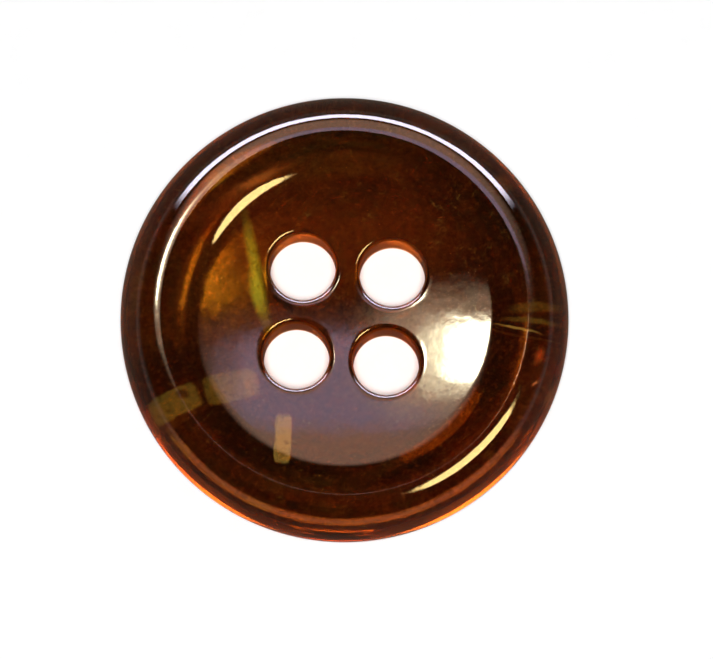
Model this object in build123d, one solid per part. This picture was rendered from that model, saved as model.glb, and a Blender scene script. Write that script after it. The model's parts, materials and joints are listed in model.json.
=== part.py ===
from build123d import *
from math import atan2, cos, degrees, pi, radians, sin
import os

# A four-hole sew-on button, turned, drilled and tumbled from one disc of cast amber resin.
# Sizes are in millimetres. +Z points out of the dished face, and the origin is the centre of the
# flat back. The four thread holes lie on the corners of a square whose sides follow X and Y.

# Driving sizes of the turned disc.
diameter = 15.0           # 24 ligne, a usual size on cuffs and light jackets
thickness = 2.4           # from the back to the rim's crest
widest_height = 0.7       # height of the widest circle above the back

# The face, from the widest circle inwards: side, rim round, rim top, lip, flank, crease and floor.
crest_radius = 6.1        # distance of the rim's highest circle from the axis
rim_round_radius = 0.35   # tight round between the side and the rim's top
rim_top_radius = 1.8      # gentle crown of the rim's top, outside its crest
rim_top_slope = 12.0      # degrees, how far the crown leans outwards where the tight round takes over
lip_radius = 0.04         # small round on the crest's inner side, at the top of the dish's wall
flank_slope = 20.0        # degrees, the straight wall of the dish
crease_radius = 1.6       # hollow round where the wall meets the floor
floor_slope = 7.0         # degrees, how steep the shallow floor has become at the crease
floor_reach = 4.85        # distance from the axis at which the floor ends

# The back, from the middle outwards: land, back round and side round.
land_radius = 5.2         # flat middle, on which the button rests
back_slope = 20.0         # degrees, where the gentle back round meets the tighter side round

# Driving sizes of the thread holes.
hole_diameter = 2.2
hole_spacing = 3.0        # centre to centre, along X and along Y
hole_edge_radius = 0.18   # tumbled round at both ends of each hole


def two_radii(run, rise, bend):
    """Radii of two tangent arcs that climb from level to upright over a given run and rise.

    The first arc turns by bend degrees and the second by what is left of the right angle.
    """
    s = sin(radians(bend))
    c = cos(radians(bend))
    scale = s * c - (1 - s) * (1 - c)
    first = (run * c - rise * (1 - s)) / scale
    second = (rise * s - run * (1 - c)) / scale
    return first, second


def upper_side():
    """Radius and bend of the arc from the widest circle up to the rim's tight round.

    A tangent arc that leaves an upright line bends by twice the angle at which its far end is seen,
    and the tight round's centre is seen at that angle too.
    """
    slope = radians(rim_top_slope)
    centre_x = crest_radius + (rim_top_radius - rim_round_radius) * sin(slope)
    centre_z = thickness - rim_top_radius + (rim_top_radius - rim_round_radius) * cos(slope)
    inward = diameter / 2 - rim_round_radius - centre_x
    rise = centre_z - widest_height
    bend = 2 * atan2(inward, rise)
    return rim_round_radius + rise / sin(bend), degrees(bend)


def half_section():
    """Half of the disc's section, from the centre of the back round the rim to the dish's centre."""
    back_radius, side_radius = two_radii(diameter / 2 - land_radius, widest_height, back_slope)
    upper_radius, upper_bend = upper_side()
    floor_radius = floor_reach / sin(radians(floor_slope))
    lip_run = lip_radius * sin(radians(flank_slope))
    crease_run = crease_radius * (sin(radians(flank_slope)) - sin(radians(floor_slope)))
    flank_length = (crest_radius - lip_run - crease_run - floor_reach) / cos(radians(flank_slope))

    land = Line((0, 0), (land_radius, 0))
    back = JernArc(land @ 1, land % 1, back_radius, back_slope)
    side = JernArc(back @ 1, back % 1, side_radius, 90 - back_slope)
    upper = JernArc(side @ 1, side % 1, upper_radius, upper_bend)
    rim_round = JernArc(upper @ 1, upper % 1, rim_round_radius, 90 - upper_bend - rim_top_slope)
    rim_top = JernArc(rim_round @ 1, rim_round % 1, rim_top_radius, rim_top_slope)
    lip = JernArc(rim_top @ 1, rim_top % 1, lip_radius, flank_slope)
    flank = Line(lip @ 1, lip @ 1 + (lip % 1) * flank_length)
    crease = JernArc(flank @ 1, flank % 1, crease_radius, floor_slope - flank_slope)
    floor = JernArc(crease @ 1, crease % 1, floor_radius, -floor_slope)
    axis = Line(floor @ 1, (0, 0))
    return make_face([land, back, side, upper, rim_round, rim_top, lip, flank, crease, floor, axis])


def button():
    """The turned disc with its four thread holes, all eight hole edges rounded by tumbling."""
    disc = revolve(Plane.XZ * half_section(), Axis.Z)
    drills = GridLocations(hole_spacing, hole_spacing, 2, 2) * Cylinder(hole_diameter / 2, 3 * thickness)
    drilled = disc - drills
    girth = pi * hole_diameter
    hole_edges = drilled.edges().filter_by(lambda edge: girth * 0.99 < edge.length < girth * 1.01)
    return fillet(hole_edges, hole_edge_radius)


os.makedirs("parts", exist_ok=True)
export_step(button(), "parts/button_disc.step")
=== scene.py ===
import json
from math import atan, atan2, cos, degrees, pi, radians, sin, sqrt, tan

import bmesh
import bpy
from mathutils import Matrix, Vector


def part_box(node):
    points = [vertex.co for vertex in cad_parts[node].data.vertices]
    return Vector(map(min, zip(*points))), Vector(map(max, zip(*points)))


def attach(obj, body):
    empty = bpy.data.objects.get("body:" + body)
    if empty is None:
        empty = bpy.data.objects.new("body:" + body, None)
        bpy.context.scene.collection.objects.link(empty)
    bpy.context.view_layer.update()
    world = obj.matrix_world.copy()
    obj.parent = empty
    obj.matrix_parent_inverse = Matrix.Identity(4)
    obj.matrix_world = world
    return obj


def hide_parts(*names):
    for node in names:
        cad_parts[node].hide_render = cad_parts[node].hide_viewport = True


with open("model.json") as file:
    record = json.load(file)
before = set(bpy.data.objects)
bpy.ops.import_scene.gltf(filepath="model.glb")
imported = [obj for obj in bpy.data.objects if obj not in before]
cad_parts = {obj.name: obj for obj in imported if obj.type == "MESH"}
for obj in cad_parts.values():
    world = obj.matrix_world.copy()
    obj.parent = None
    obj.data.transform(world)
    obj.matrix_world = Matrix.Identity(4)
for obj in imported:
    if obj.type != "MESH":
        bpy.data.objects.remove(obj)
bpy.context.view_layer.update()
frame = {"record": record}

# ---------------------------------------------------------------------------------------------
# Sizes. Everything about the button's shape is in millimetres until it becomes a mesh.

MM = 0.001
disc_low, disc_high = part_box("button_disc")
disc_radius = (disc_high.x - disc_low.x) / 2 / MM
thickness = (disc_high.z - disc_low.z) / MM

holes = [m for m in frame["record"]["mounts"] if m["name"].startswith("thread_hole")]
hole_radius = holes[0]["dims"]["r_mm"]
hole_offset = abs(holes[0]["pos_m"][0]) / MM
hole_edge_radius = 0.18

# The turned section, with the CAD model's driving sizes.
land_radius = 5.2
back_slope = 20.0
widest_height = 0.7
crest_radius = 6.1
rim_round_radius = 0.35
rim_top_radius = 1.8
rim_top_slope = 12.0
lip_radius = 0.04
flank_slope = 20.0
crease_radius = 1.6
floor_slope = 7.0
floor_reach = 4.85
floor_radius = floor_reach / sin(radians(floor_slope))

# The mesh's fineness.
cell_radius = 3.9     # circle round all four holes, inside which the quads run round each hole
quarter_steps = 64     # quads along a quarter of that circle
axis_steps = 40        # quads along each straight side between two holes' cells
cell_rings = 9         # quads from a hole's edge out to its cell's border


# ---------------------------------------------------------------------------------------------
# The button's mesh.

class Pen:
    """Walks along the half section from a starting point, keeping every (radius, height) it passes."""

    def __init__(self, radius, height):
        self.rings = [(radius, height)]
        self.heading = 0.0

    def step(self, length, heading):
        radius, height = self.rings[-1]
        self.rings.append((radius + length * cos(radians(heading)), height + length * sin(radians(heading))))

    def line(self, length, steps):
        for _ in range(steps):
            self.step(length / steps, self.heading)

    def arc(self, radius, turn, steps):
        part = turn / steps
        chord = 2 * radius * sin(radians(abs(part)) / 2)
        for _ in range(steps):
            self.step(chord, self.heading + part / 2)
            self.heading += part


def two_radii(run, rise, bend):
    """Radii of two tangent arcs that climb from level to upright over a given run and rise."""
    s = sin(radians(bend))
    c = cos(radians(bend))
    scale = s * c - (1 - s) * (1 - c)
    return (run * c - rise * (1 - s)) / scale, (rise * s - run * (1 - c)) / scale


def upper_side():
    """Radius and bend of the arc from the widest circle up to the rim's tight round."""
    slope = radians(rim_top_slope)
    centre_x = crest_radius + (rim_top_radius - rim_round_radius) * sin(slope)
    centre_z = thickness - rim_top_radius + (rim_top_radius - rim_round_radius) * cos(slope)
    rise = centre_z - widest_height
    bend = 2 * atan2(disc_radius - rim_round_radius - centre_x, rise)
    return rim_round_radius + rise / sin(bend), degrees(bend)


def outer_section():
    """The section from the cell circle on the back, round the rim, to the floor's edge on the face."""
    back_radius, side_radius = two_radii(disc_radius - land_radius, widest_height, back_slope)
    upper_radius, upper_bend = upper_side()
    lip_run = lip_radius * sin(radians(flank_slope))
    crease_run = crease_radius * (sin(radians(flank_slope)) - sin(radians(floor_slope)))
    flank_run = crest_radius - lip_run - crease_run - floor_reach
    pen = Pen(cell_radius, 0.0)
    pen.line(land_radius - cell_radius, 2)
    pen.arc(back_radius, back_slope, 10)
    pen.arc(side_radius, 90 - back_slope, 12)
    pen.arc(upper_radius, upper_bend, 14)
    pen.arc(rim_round_radius, 90 - upper_bend - rim_top_slope, 10)
    pen.arc(rim_top_radius, rim_top_slope, 8)
    pen.arc(lip_radius, flank_slope, 8)
    pen.line(flank_run / cos(radians(flank_slope)), 3)
    pen.arc(crease_radius, floor_slope - flank_slope, 20)
    return pen.rings


section = outer_section()
floor_low = section[-1][1] - floor_radius * (1 - cos(radians(floor_slope)))


def floor_height(radius):
    """Height of the dish's shallow floor at a distance from the axis."""
    return floor_low + floor_radius - sqrt(floor_radius ** 2 - radius ** 2)


def circle(radius, height):
    """A ring of points at the polar angles that every ring outside the cells shares."""
    turns = [2 * pi * i / (4 * quarter_steps) for i in range(4 * quarter_steps)]
    return [Vector((radius * cos(a), radius * sin(a), height)) for a in turns]


def cell_border():
    """The first quarter's border, anticlockwise: along the cell circle, then in and out by the axes."""
    arc = [pi / 2 * i / quarter_steps for i in range(quarter_steps)]
    inward = [cell_radius * (1 - i / axis_steps) for i in range(axis_steps)]
    outward = [cell_radius * i / axis_steps for i in range(axis_steps)]
    points = [(cell_radius * cos(a), cell_radius * sin(a)) for a in arc]
    return points + [(0.0, y) for y in inward] + [(x, 0.0) for x in outward]


def hole_section(x, y):
    """Points from the face's floor, over the rounded edge and down the hole, to the back.

    They lie in the upright half-plane that leaves the hole's axis towards the border point (x, y).
    """
    away = Vector((x - hole_offset, y - hole_offset, 0)).normalized()
    axis = Vector((hole_offset, hole_offset, 0))
    reach = hole_radius + hole_edge_radius
    tilt = atan((axis + away * reach).dot(away) / floor_radius)
    touch = axis + away * (reach - hole_edge_radius * sin(tilt))
    top = floor_height(touch.length) - hole_edge_radius * cos(tilt)
    points = []
    for i in range(9):
        turn = tilt + (pi / 2 - tilt) * i / 8
        out = reach - hole_edge_radius * sin(turn)
        points.append(axis + away * out + Vector((0, 0, top + hole_edge_radius * cos(turn))))
    for i in range(1, 7):
        height = top + (hole_edge_radius - top) * i / 6
        points.append(axis + away * hole_radius + Vector((0, 0, height)))
    for i in range(1, 9):
        turn = pi / 2 * (1 - i / 8)
        out = reach - hole_edge_radius * sin(turn)
        points.append(axis + away * out + Vector((0, 0, hole_edge_radius * (1 - cos(turn)))))
    return points


def cell_rings_of_points():
    """One hole's cell as rings, from its border on the face through the hole to its border on the back."""
    border = [Vector((x, y, 0)) for x, y in cell_border()]
    hole = [hole_section(p.x, p.y) for p in border]
    rings = []
    for j in range(cell_rings):
        flat = [p.lerp(Vector((h[0].x, h[0].y, 0)), j / cell_rings) for p, h in zip(border, hole)]
        rings.append([Vector((p.x, p.y, floor_height(p.length))) for p in flat])
    for k in range(len(hole[0])):
        rings.append([h[k] for h in hole])
    for j in range(1, cell_rings + 1):
        rings.append([h[-1].lerp(p, j / cell_rings) for p, h in zip(border, hole)])
    return rings


def skin(mesh, rings):
    """Quads between each closed ring of points and the next."""
    rows = [[mesh.verts.new(p * MM) for p in ring] for ring in rings]
    for row, after in zip(rows, rows[1:]):
        for i in range(len(row)):
            j = (i + 1) % len(row)
            mesh.faces.new((row[i], row[j], after[j], after[i]))


def make_button():
    """The resin button as one closed all-quad mesh, with the section and the holes of the CAD disc."""
    mesh = bmesh.new()
    floor_steps = 6
    steps = range(1, floor_steps + 1)
    floor_rings = [floor_reach + (cell_radius - floor_reach) * i / floor_steps for i in steps]
    skin(mesh, [circle(r, z) for r, z in section + [(r, floor_height(r)) for r in floor_rings]])
    cell = cell_rings_of_points()
    for side_x in (1, -1):
        for side_y in (1, -1):
            skin(mesh, [[Vector((p.x * side_x, p.y * side_y, p.z)) for p in ring] for ring in cell])
    bmesh.ops.remove_doubles(mesh, verts=mesh.verts, dist=0.0002 * MM)
    bmesh.ops.recalc_face_normals(mesh, faces=mesh.faces)
    for face in mesh.faces:
        face.smooth = True
    data = bpy.data.meshes.new("resin_button")
    mesh.to_mesh(data)
    mesh.free()
    button = bpy.data.objects.new("resin_button", data)
    bpy.context.scene.collection.objects.link(button)
    return button


# ---------------------------------------------------------------------------------------------
# Node helpers.

def node(tree, kind, inputs=None, **settings):
    """A shader node. inputs gives each socket, by name or number, a value or the output feeding it."""
    made = tree.nodes.new("ShaderNode" + kind)
    for name, value in settings.items():
        setattr(made, name, value)
    for key, value in (inputs or {}).items():
        if isinstance(value, bpy.types.NodeSocket):
            tree.links.new(value, made.inputs[key])
        else:
            made.inputs[key].default_value = value
    return made


def maths(tree, operation, *values):
    """The result of a Math node."""
    return node(tree, "Math", dict(enumerate(values)), operation=operation).outputs[0]


def vector_maths(tree, operation, *values):
    """The vector result of a Vector Math node."""
    return node(tree, "VectorMath", dict(enumerate(values)), operation=operation).outputs["Vector"]


def smooth_range(tree, value, low, high):
    """0 below low, 1 above high, with a smooth change between them. high may be the smaller one."""
    if low > high:
        return maths(tree, "SUBTRACT", 1.0, smooth_range(tree, value, high, low))
    inputs = {"Value": value, "From Min": low, "From Max": high}
    return node(tree, "MapRange", inputs, interpolation_type="SMOOTHSTEP").outputs["Result"]


def blend(tree, amount, first, second):
    """A colour between first and second."""
    inputs = {"Factor": amount, "A": first, "B": second}
    made = node(tree, "Mix", data_type="RGBA")
    sockets = {"Factor": made.inputs[0], "A": made.inputs[6], "B": made.inputs[7]}
    for key, value in inputs.items():
        if isinstance(value, bpy.types.NodeSocket):
            tree.links.new(value, sockets[key])
        else:
            sockets[key].default_value = value
    return made.outputs[2]


def noise(tree, place, scale, detail=4.0, roughness=0.5, output="Fac"):
    inputs = {"Vector": place, "Scale": scale, "Detail": detail, "Roughness": roughness}
    return node(tree, "TexNoise", inputs).outputs[output]


# ---------------------------------------------------------------------------------------------
# The resin. Colours are linear. Places are in millimetres, in a frame fixed to the button and turned
# anticlockwise from its X and Y axes. The camera has the same turn, so the picture's right is this
# frame's x and its top is y. Directions are in degrees, anticlockwise from x.

marbling_turn = 4.0

AMBER = (0.360, 0.098, 0.007, 1)
CHESTNUT = (0.260, 0.058, 0.005, 1)
UMBER = (0.110, 0.027, 0.004, 1)
BITUMEN = (0.045, 0.010, 0.002, 1)
OCHRE = (0.300, 0.150, 0.014, 1)
OLIVE = (0.50, 0.29, 0.030, 1)
YELLOW = (0.75, 0.78, 0.05, 1)
HONEY = (0.92, 0.54, 0.09, 1)
RUST = (0.40, 0.070, 0.008, 1)
FLAME = (0.85, 0.22, 0.030, 1)
SPARK = (0.75, 0.06, 0.006, 1)
PEACH = (0.95, 0.26, 0.07, 1)
GLOW = (0.46, 0.115, 0.028, 1)
EMBER = (0.24, 0.020, 0.003, 1)
PAINTED_WALL_GLOW = (0.66, 0.17, 0.010, 1)
WALL_END = (1.0, 0.48, 0.10, 1)

body_tint = (0.68, 0.70, 0.70)   # how much of each primary the marbling's colours keep in the thin disc
clearness = 0.98                 # transmission of resin without any milk in it
wall_end_milk = 0.45
wall_roughness = 0.5             # how much rougher the drilled walls are than the polished faces
relief_depth = 0.000004          # metres
absorption_colour = (0.87, 0.60, 0.0, 1)
absorption_density = 250.0       # per metre; what is left after a few millimetres is honey-coloured

# Soft clouds of other tints: centre, half length, half width, direction in degrees, softness, colour, amount.
CLOUDS = [
    ((-1.0, 5.2), 3.6, 0.55, 8, 0.7, OCHRE, 0.7),
    ((-0.4, 4.2), 3.4, 0.40, 0, 0.8, UMBER, 0.45),
    ((3.6, 4.2), 1.6, 0.7, -40, 0.9, UMBER, 0.6),
    ((4.6, 2.4), 1.4, 1.6, -60, 0.9, UMBER, 0.7),
    ((0.6, 2.9), 3.2, 0.9, -6, 0.9, AMBER, 0.6),
    ((-4.9, 1.7), 1.4, 1.1, 60, 0.9, OCHRE, 0.30),
    ((-4.3, 0.5), 1.4, 1.3, 0, 0.8, OCHRE, 0.60),
    ((-6.3, -0.6), 0.7, 0.9, 0, 0.8, OCHRE, 0.5),
    ((-5.6, -1.7), 1.0, 0.7, 20, 0.8, UMBER, 0.8),
    ((-3.6, -3.6), 1.7, 0.7, -35, 0.8, UMBER, 0.8),
    ((-1.6, -5.3), 2.2, 0.35, -18, 0.8, UMBER, 0.7),
    ((-0.9, -5.75), 2.3, 0.32, -8, 0.8, OCHRE, 0.8),
    ((1.5, -6.0), 2.6, 0.35, 8, 0.8, CHESTNUT, 0.6),
    ((4.3, -4.1), 1.7, 0.5, 45, 0.8, RUST, 0.5),
    ((3.6, -3.3), 1.6, 0.45, 45, 0.8, UMBER, 0.7),
    ((6.0, -3.0), 1.0, 0.35, 62, 0.8, FLAME, 0.45),
    ((-6.9, 0.9), 1.6, 0.3, 84, 0.8, OLIVE, 0.5),
    ((5.30, -1.3), 2.0, 0.50, 78, 0.8, BITUMEN, 0.35),
]

# Veins and chips, sharper than the clouds: as above, then how milky and how square each is.
VEINS = [
    ((-2.98, 1.55), 1.75, 0.17, -79, 0.75, YELLOW, 0.70, 0.10, 2),
    ((-2.92, 0.75), 0.70, 0.20, -78, 0.6, YELLOW, 0.95, 0.18, 2),
    ((-3.80, -2.45), 0.85, 0.50, 14, 0.10, OLIVE, 0.85, 0.15, 7),
    ((-5.60, -3.05), 0.85, 0.45, 25, 0.12, OLIVE, 0.85, 0.17, 7),
    ((-5.35, -2.75), 0.20, 0.16, 10, 0.5, UMBER, 0.9, 0.0, 2),
    ((-3.10, -2.3), 0.26, 0.42, 14, 0.2, HONEY, 0.5, 0.12, 6),
    ((-2.04, -4.2), 0.82, 0.27, 88, 0.08, HONEY, 0.9, 0.24, 8),
    ((-3.85, 3.85), 2.1, 0.26, 33, 0.8, RUST, 0.9, 0.12, 2),
    ((-2.95, 4.45), 0.85, 0.14, 27, 0.8, FLAME, 0.9, 0.25, 2),
    ((-4.2, 4.5), 0.42, 0.22, 40, 0.5, OLIVE, 0.8, 0.10, 3),
    ((6.35, 0.15), 0.80, 0.16, 3, 0.5, OCHRE, 0.8, 0.20, 3),
    ((6.2, -0.30), 0.90, 0.09, -6, 0.5, OCHRE, 0.8, 0.25, 3),
    ((6.45, -1.50), 0.27, 0.14, 68, 0.8, SPARK, 1.0, 0.45, 2),
    ((6.45, -2.00), 0.45, 0.34, 70, 0.8, RUST, 0.9, 0.10, 2),
    ((6.32, -2.38), 0.16, 0.05, 38, 0.8, PEACH, 0.9, 0.45, 2),
    ((6.80, -2.75), 0.32, 0.10, 65, 0.8, SPARK, 0.9, 0.35, 2),
    ((5.25, 4.35), 0.34, 0.28, -40, 0.4, FLAME, 0.5, 0.10, 3),
    ((5.75, -0.55), 0.75, 0.04, -14, 0.5, HONEY, 0.9, 0.25, 2),
]


def oval_mask(tree, place, centre, half_length, half_width, direction, softness, power=2.0):
    """1 inside an oval, falling to 0 at its soft border. A higher power makes it more of a rectangle.

    The oval's middle and size are in the place's own first two coordinates, and it ignores the third.
    """
    mapping = node(tree, "Mapping", {"Vector": place}, vector_type="TEXTURE")
    mapping.inputs["Location"].default_value = (*centre, 0)
    mapping.inputs["Rotation"].default_value = (0, 0, radians(direction))
    mapping.inputs["Scale"].default_value = (half_length, half_width, 1)
    offset = node(tree, "SeparateXYZ", {0: vector_maths(tree, "ABSOLUTE", mapping.outputs[0])}).outputs
    reach = maths(tree, "ADD", maths(tree, "POWER", offset["X"], power),
                  maths(tree, "POWER", offset["Y"], power))
    return smooth_range(tree, maths(tree, "POWER", reach, 1 / power), 1 + softness, 1 - softness)


def near_direction(tree, facing, towards, spread):
    """1 well within spread degrees of a direction round the axis, falling softly to 0 beyond it."""
    along = node(tree, "VectorMath", {0: facing, 1: (cos(radians(towards)), sin(radians(towards)), 0)},
                 operation="DOT_PRODUCT").outputs["Value"]
    return smooth_range(tree, along, cos(radians(spread * 1.3)), cos(radians(spread * 0.7)))


def scaled(tree, vector, factor):
    made = node(tree, "VectorMath", {0: vector}, operation="SCALE")
    made.inputs["Scale"].default_value = factor
    return made.outputs["Vector"]


def wander(tree, place, scale, reach, detail=3.0):
    """The place pushed about by noise, up to roughly reach millimetres."""
    drift = vector_maths(tree, "SUBTRACT", noise(tree, place, scale, detail, 0.55, "Color"), (0.5, 0.5, 0.5))
    return vector_maths(tree, "ADD", place, scaled(tree, drift, reach * 2))


def painted_rim_glow(tree, colour, radius, facing, place):
    """Painted glow: redder stretches of the outermost rim.

    They are tints fixed to the button, and stand for light that comes through the rim's thin edge, not for
    pigment.
    """
    ragged = maths(tree, "ADD", radius, maths(tree, "MULTIPLY", maths(
        tree, "SUBTRACT", noise(tree, place, 1.6, 4, 0.6), 0.5), 0.9))
    for first, last, towards, spread, tint in (
        (6.75, 7.2, -46, 38, GLOW),
        (7.25, 7.42, -146, 26, EMBER),
        (7.15, 7.42, -103, 26, RUST),
    ):
        across = smooth_range(tree, ragged, first, last)
        mask = maths(tree, "MULTIPLY", across, near_direction(tree, facing, towards, spread))
        colour = blend(tree, mask, colour, tint)
    return colour


def marbling_and_painted_light(tree, place, radius, facing):
    """Base colour: brown clouds in clear amber, with veins, chips and fibres of clearer resin, painted shade
    on the dish's wall and rim top, and a painted glow on the outermost rim.
    """
    warped = wander(tree, place, 0.8, 0.55)
    swept = vector_maths(tree, "ADD", scaled(tree, facing, 2.2), node(tree, "CombineXYZ", {
        "X": 0.0, "Y": 0.0, "Z": maths(tree, "MULTIPLY", radius, 1.6)}).outputs[0])
    streaks = noise(tree, wander(tree, swept, 1.0, 0.35), 1.25, 6, 0.62)
    clouds = noise(tree, warped, 0.55, 6, 0.62)
    wisps = noise(tree, wander(tree, swept, 1.3, 0.5), 2.4, 6, 0.7)
    milk = maths(tree, "MULTIPLY", smooth_range(tree, wisps, 0.40, 0.70), 0.07)
    colour = blend(tree, smooth_range(tree, clouds, 0.38, 0.64), CHESTNUT, AMBER)
    dark_streaks = maths(tree, "MULTIPLY", smooth_range(tree, streaks, 0.50, 0.66), 0.75)
    pale_streaks = maths(tree, "MULTIPLY", smooth_range(tree, streaks, 0.46, 0.34), 0.45)
    colour = blend(tree, dark_streaks, colour, UMBER)
    colour = blend(tree, pale_streaks, colour, OCHRE)
    for centre, half_length, half_width, direction, softness, tint, amount in CLOUDS:
        mask = oval_mask(tree, warped, centre, half_length, half_width, direction, softness)
        colour = blend(tree, maths(tree, "MULTIPLY", mask, amount), colour, tint)
    # Painted shade: the dish's wall and the rim's top are made a little darker and browner than the rest,
    # above all to the south.
    ring = maths(tree, "MULTIPLY", smooth_range(tree, radius, 4.7, 5.3), smooth_range(tree, radius, 6.9, 6.3))
    ring = maths(tree, "MULTIPLY", ring, maths(tree, "ADD", 0.10, maths(
        tree, "MULTIPLY", near_direction(tree, facing, -70, 88), 0.22)))
    colour = blend(tree, ring, colour, BITUMEN)
    near = wander(tree, place, 2.2, 0.07)
    for centre, half_length, half_width, direction, softness, tint, amount, milkiness, power in VEINS:
        mask = oval_mask(tree, near, centre, half_length, half_width, direction, softness, power)
        colour = blend(tree, maths(tree, "MULTIPLY", mask, amount), colour, tint)
        milk = maths(tree, "MAXIMUM", milk, maths(tree, "MULTIPLY", mask, milkiness))
    # Painted glow on the outermost rim, standing for light through its thin edge.
    colour = painted_rim_glow(tree, colour, radius, facing, place)
    mottle = noise(tree, place, 5.0, 6, 0.7)
    darker = blend(tree, 0.55, colour, UMBER)
    lighter = blend(tree, 0.38, colour, FLAME)
    colour = blend(tree, smooth_range(tree, mottle, 0.50, 0.34), colour, darker)
    colour = blend(tree, smooth_range(tree, mottle, 0.52, 0.68), colour, lighter)
    field = noise(tree, wander(tree, place, 1.4, 0.3), 1.7, 2, 0.5)
    thread = maths(tree, "ABSOLUTE", maths(tree, "SUBTRACT", field, 0.52))
    scatter = maths(tree, "ADD", noise(tree, place, 2.6, 3, 0.6), maths(
        tree, "MULTIPLY", oval_mask(tree, place, (3.9, 2.6), 2.2, 1.6, -40, 0.7), 0.07))
    fibre = maths(tree, "MULTIPLY", smooth_range(tree, thread, 0.012, 0.003),
                  smooth_range(tree, scatter, 0.53, 0.62))
    milk = maths(tree, "MAXIMUM", milk, maths(tree, "MULTIPLY", fibre, 0.10))
    return blend(tree, maths(tree, "MULTIPLY", fibre, 0.45), colour, HONEY), milk


def hole_mask(tree, coordinates):
    """1 on the walls of the four thread holes, with their rounded edges, and 0 elsewhere."""
    quarter = vector_maths(tree, "ABSOLUTE", vector_maths(tree, "MULTIPLY", coordinates, (1.0, 1.0, 0.0)))
    away = vector_maths(tree, "SUBTRACT", quarter, (hole_offset, hole_offset, 0.0))
    reach = node(tree, "VectorMath", {0: away}, operation="LENGTH").outputs["Value"]
    return smooth_range(tree, reach, hole_radius + 0.10, hole_radius + 0.02)


def resin_material():
    material = bpy.data.materials.new("amber_resin")
    material.use_nodes = True
    tree = material.node_tree
    tree.nodes.clear()
    coordinates = scaled(tree, node(tree, "TexCoord").outputs["Object"], 1 / MM)
    turn = node(tree, "VectorRotate", {"Vector": coordinates, "Angle": radians(-marbling_turn)},
                rotation_type="Z_AXIS")
    place = turn.outputs[0]
    flat = vector_maths(tree, "MULTIPLY", place, (1.0, 1.0, 0.0))
    radius = node(tree, "VectorMath", {0: flat}, operation="LENGTH").outputs["Value"]
    facing = vector_maths(tree, "NORMALIZE", flat)
    height = node(tree, "SeparateXYZ", {0: place}).outputs["Z"]

    colour, milk = marbling_and_painted_light(tree, place, radius, facing)
    colour = vector_maths(tree, "MULTIPLY", colour, body_tint)
    walls = hole_mask(tree, coordinates)
    # Painted light: the hole walls are tinted a brighter orange amber, standing for light that comes through
    # the resin round the holes.
    colour = blend(tree, walls, colour, PAINTED_WALL_GLOW)

    # The holes' lower ends are tinted paler and milkier. This stands for light from the sheet below.
    ends = maths(tree, "MULTIPLY", walls, smooth_range(tree, height, 0.50, 0.25))
    colour = blend(tree, ends, colour, WALL_END)
    milk = maths(tree, "MULTIPLY", milk, maths(tree, "SUBTRACT", 1.0, walls))
    milk = maths(tree, "ADD", milk, maths(tree, "MULTIPLY", ends, wall_end_milk))
    clear = maths(tree, "SUBTRACT", clearness, milk)

    polish = noise(tree, place, 1.3, 4, 0.6)
    rough = node(tree, "MapRange", {"Value": polish, "To Min": 0.02, "To Max": 0.06}).outputs["Result"]
    rough = maths(tree, "ADD", rough, maths(tree, "MULTIPLY", walls, wall_roughness))
    scratches = noise(tree, vector_maths(tree, "MULTIPLY", place, (9.0, 1.0, 1.0)), 5.0, 3, 0.6)
    ripple = noise(tree, place, 1.1, 2, 0.5)
    grain = noise(tree, place, 7.0, 3, 0.6)
    relief = maths(tree, "ADD", maths(tree, "MULTIPLY", scratches, 0.06), ripple)
    relief = maths(tree, "ADD", maths(tree, "MULTIPLY", grain, 0.12), relief)
    bump = node(tree, "Bump", {"Strength": 1.0, "Distance": relief_depth, "Height": relief})
    surface = node(tree, "BsdfPrincipled", {
        "Base Color": colour, "Roughness": rough, "Normal": bump.outputs[0],
        "IOR": 1.55, "Transmission Weight": clear})
    volume = node(tree, "VolumeAbsorption", {"Color": absorption_colour, "Density": absorption_density})
    node(tree, "OutputMaterial", {"Surface": surface.outputs[0], "Volume": volume.outputs[0]})
    return material


# ---------------------------------------------------------------------------------------------
# The studio.

camera_turn = marbling_turn
camera_tilt = 8.5        # degrees away from straight above
camera_distance = 0.150  # metres
camera_aim = (0.00040, -0.00035)  # metres, how far the aim is off the widest circle's centre
frame_width = 0.02387    # metres across the picture at the button
sensor_width = 36.0      # millimetres

lamp_distance = 0.4      # metres
lamp_width = 12          # degrees, as seen from the button
lamp_radiance = 84

sheet_half = 0.75        # metres
sheet_steps = 24
sheet_gap = 0.00001      # metres between the sheet and the button's back

LOW_SKY = (0.42, 0.35, 0.30, 1)
HIGH_SKY = (0.05, 0.035, 0.02, 1)
LOWER_HALF = (0.16, 0.115, 0.087, 1)
WINDOW = (19.0, 17.5, 21.0, 1)
ROOM = (0.08, 0.08, 0.08, 1)
BEHIND_RESIN = (3.4, 3.3, 3.2, 1)
PAPER_DARK = (0.80, 0.80, 0.80, 1)
PAPER_LIGHT = (0.86, 0.86, 0.86, 1)


def sky(east, north):
    """A direction above the button, in degrees from the zenith to the camera's right and top."""
    direction = Vector((tan(radians(east)), tan(radians(north)), 1.0)).normalized()
    return Matrix.Rotation(radians(camera_turn), 3, "Z") @ direction


def make_camera():
    data = bpy.data.cameras.new("camera")
    camera = bpy.data.objects.new("camera", data)
    bpy.context.scene.collection.objects.link(camera)
    back = sky(0, -camera_tilt)
    turn = back.to_track_quat("Z", "Y")
    target = Vector((0, 0, widest_height * MM)) + turn @ Vector((*camera_aim, 0))
    camera.location = target + back * camera_distance
    camera.rotation_mode = "QUATERNION"
    camera.rotation_quaternion = turn
    data.sensor_width = sensor_width
    data.lens = sensor_width * camera_distance / frame_width
    data.clip_start = 0.01
    data.clip_end = 10
    bpy.context.scene.camera = camera


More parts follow.
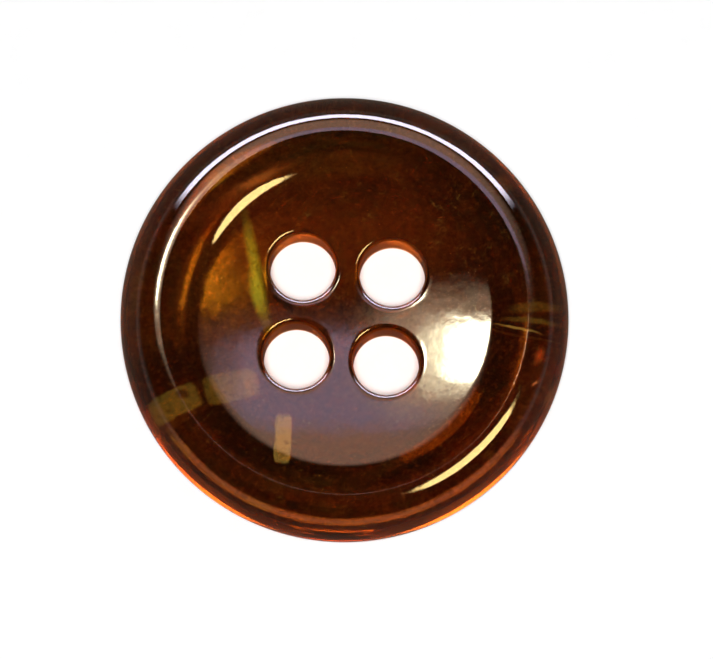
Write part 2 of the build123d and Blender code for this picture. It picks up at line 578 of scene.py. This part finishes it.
def make_lights():
    """One square lamp straight behind the camera, which isn't seen in reflections or through the resin."""
    data = bpy.data.lights.new("overhead_fill", "AREA")
    data.shape = "RECTANGLE"
    data.size = 2 * lamp_distance * tan(radians(lamp_width / 2))
    data.size_y = data.size
    data.energy = lamp_radiance * pi * data.size * data.size_y
    lamp = bpy.data.objects.new("overhead_fill", data)
    lamp.visible_transmission = False
    lamp.visible_glossy = False
    bpy.context.scene.collection.objects.link(lamp)
    direction = sky(0, -camera_tilt)
    lamp.location = direction * lamp_distance
    lamp.rotation_mode = "QUATERNION"
    right = Vector((cos(radians(camera_turn)), sin(radians(camera_turn)), 0))
    up = direction.cross(right).normalized()
    lamp.rotation_quaternion = Matrix((up.cross(direction), up, direction)).transposed().to_quaternion()


# Soft bright places round the studio, seen only as reflections on the resin. Each is an oval or a
# rounded square: middle (degrees from the zenith, to the camera's right and top), half width, half height,
# turn, softness, power of its outline (2 = oval, 6 = nearly square) and radiance.
BRIGHT_PLACES = [
    ((0.0, 25.0), 17, 12.5, 0, 0.50, 2.5, (3.0, 1.70, 1.15)),
    ((0.5, 14.3), 8.8, 4.1, 0, 0.25, 4, (2.9, 2.1, 2.7)),
    ((-9.0, 12.2), 6.0, 4.6, 0, 0.5, 3, (6.0, 4.0, 2.5)),
    ((-9.8, 12.2), 3.3, 2.9, 0, 0.40, 3, (20.0, 17.0, 11.0)),
    ((-10.8, 12.0), 2.3, 2.5, 0, 0.25, 5, (58.0, 52.0, 36.0)),
    ((15.0, -8.4), 7.6, 9.0, 41, 0.10, 2, (26.0, 18.0, 6.5)),
]


def make_world():
    """The room's light, which isn't the same for every ray.

    Mirror reflections see a dark room with the bright places and the window, light that comes through
    the resin sees an even bright field, and everything else sees a dim even room.
    """
    world = bpy.data.worlds.new("studio")
    bpy.context.scene.world = world
    world.use_nodes = True
    world.cycles.sampling_method = "NONE"
    tree = world.node_tree
    tree.nodes.clear()
    generated = node(tree, "TexCoord").outputs["Generated"]
    direction = node(tree, "VectorRotate", {"Vector": generated, "Angle": radians(-camera_turn)},
                     rotation_type="Z_AXIS").outputs[0]
    up = node(tree, "SeparateXYZ", {0: direction}).outputs["Z"]
    from_zenith = maths(tree, "DEGREES", maths(tree, "ARCCOSINE", up))
    heading = vector_maths(tree, "NORMALIZE", vector_maths(tree, "MULTIPLY", direction, (1.0, 1.0, 0.0)))
    seat = node(tree, "VectorMath", {0: heading}, operation="SCALE")
    tree.links.new(from_zenith, seat.inputs["Scale"])
    seat = seat.outputs["Vector"]
    colour = blend(tree, smooth_range(tree, up, 0.02, 0.25), LOW_SKY, HIGH_SKY)
    colour = blend(tree, smooth_range(tree, up, 0.01, -0.02), colour, LOWER_HALF)
    for middle, half_width, half_height, turn, softness, power, radiance in BRIGHT_PLACES:
        mask = oval_mask(tree, seat, middle, half_width, half_height, turn, softness, power)
        colour = blend(tree, mask, colour, (*radiance, 1))
    # A long low window at the far side of the room, 57 to 81 degrees from straight above.
    north = {0: heading, 1: (0.0, 1.0, 0.0)}
    along = node(tree, "VectorMath", north, operation="DOT_PRODUCT").outputs["Value"]
    upper_edge = smooth_range(tree, from_zenith, 57, 61)
    band = maths(tree, "MULTIPLY", upper_edge, smooth_range(tree, from_zenith, 81, 78))
    window = maths(tree, "MULTIPLY", band, smooth_range(tree, along, cos(radians(51)), cos(radians(42))))
    colour = blend(tree, window, colour, WINDOW)

    path = node(tree, "LightPath").outputs
    even = blend(tree, path["Is Transmission Ray"], ROOM, BEHIND_RESIN)
    seen = blend(tree, path["Is Glossy Ray"], even, colour)
    background = node(tree, "Background", {"Color": seen, "Strength": 1.0})
    node(tree, "OutputWorld", {"Surface": background.outputs[0]})


def make_floor():
    """A plain pale sheet that the button lies on."""
    mesh = bmesh.new()
    bmesh.ops.create_grid(mesh, x_segments=sheet_steps, y_segments=sheet_steps, size=sheet_half)
    data = bpy.data.meshes.new("floor")
    mesh.to_mesh(data)
    mesh.free()
    sheet = bpy.data.objects.new("floor", data)
    bpy.context.scene.collection.objects.link(sheet)
    sheet.location.z = disc_low.z - sheet_gap
    material = bpy.data.materials.new("pale_paper")
    material.use_nodes = True
    tree = material.node_tree
    tree.nodes.clear()
    place = node(tree, "TexCoord").outputs["Object"]
    grain = noise(tree, place, 900.0, 4, 0.6)
    tone = blend(tree, grain, PAPER_DARK, PAPER_LIGHT)
    surface = node(tree, "BsdfPrincipled", {"Base Color": tone, "Roughness": 0.9, "Specular IOR Level": 0.1})
    node(tree, "OutputMaterial", {"Surface": surface.outputs[0]})
    data.materials.append(material)
    # The resin mirrors the room's dark lower half instead of the bright sheet.
    sheet.visible_glossy = False


make_camera()
make_world()
make_lights()
make_floor()

button = make_button()
button.data.materials.append(resin_material())
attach(button, "root")
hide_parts("button_disc")

bpy.context.scene.view_settings.view_transform = "Standard"
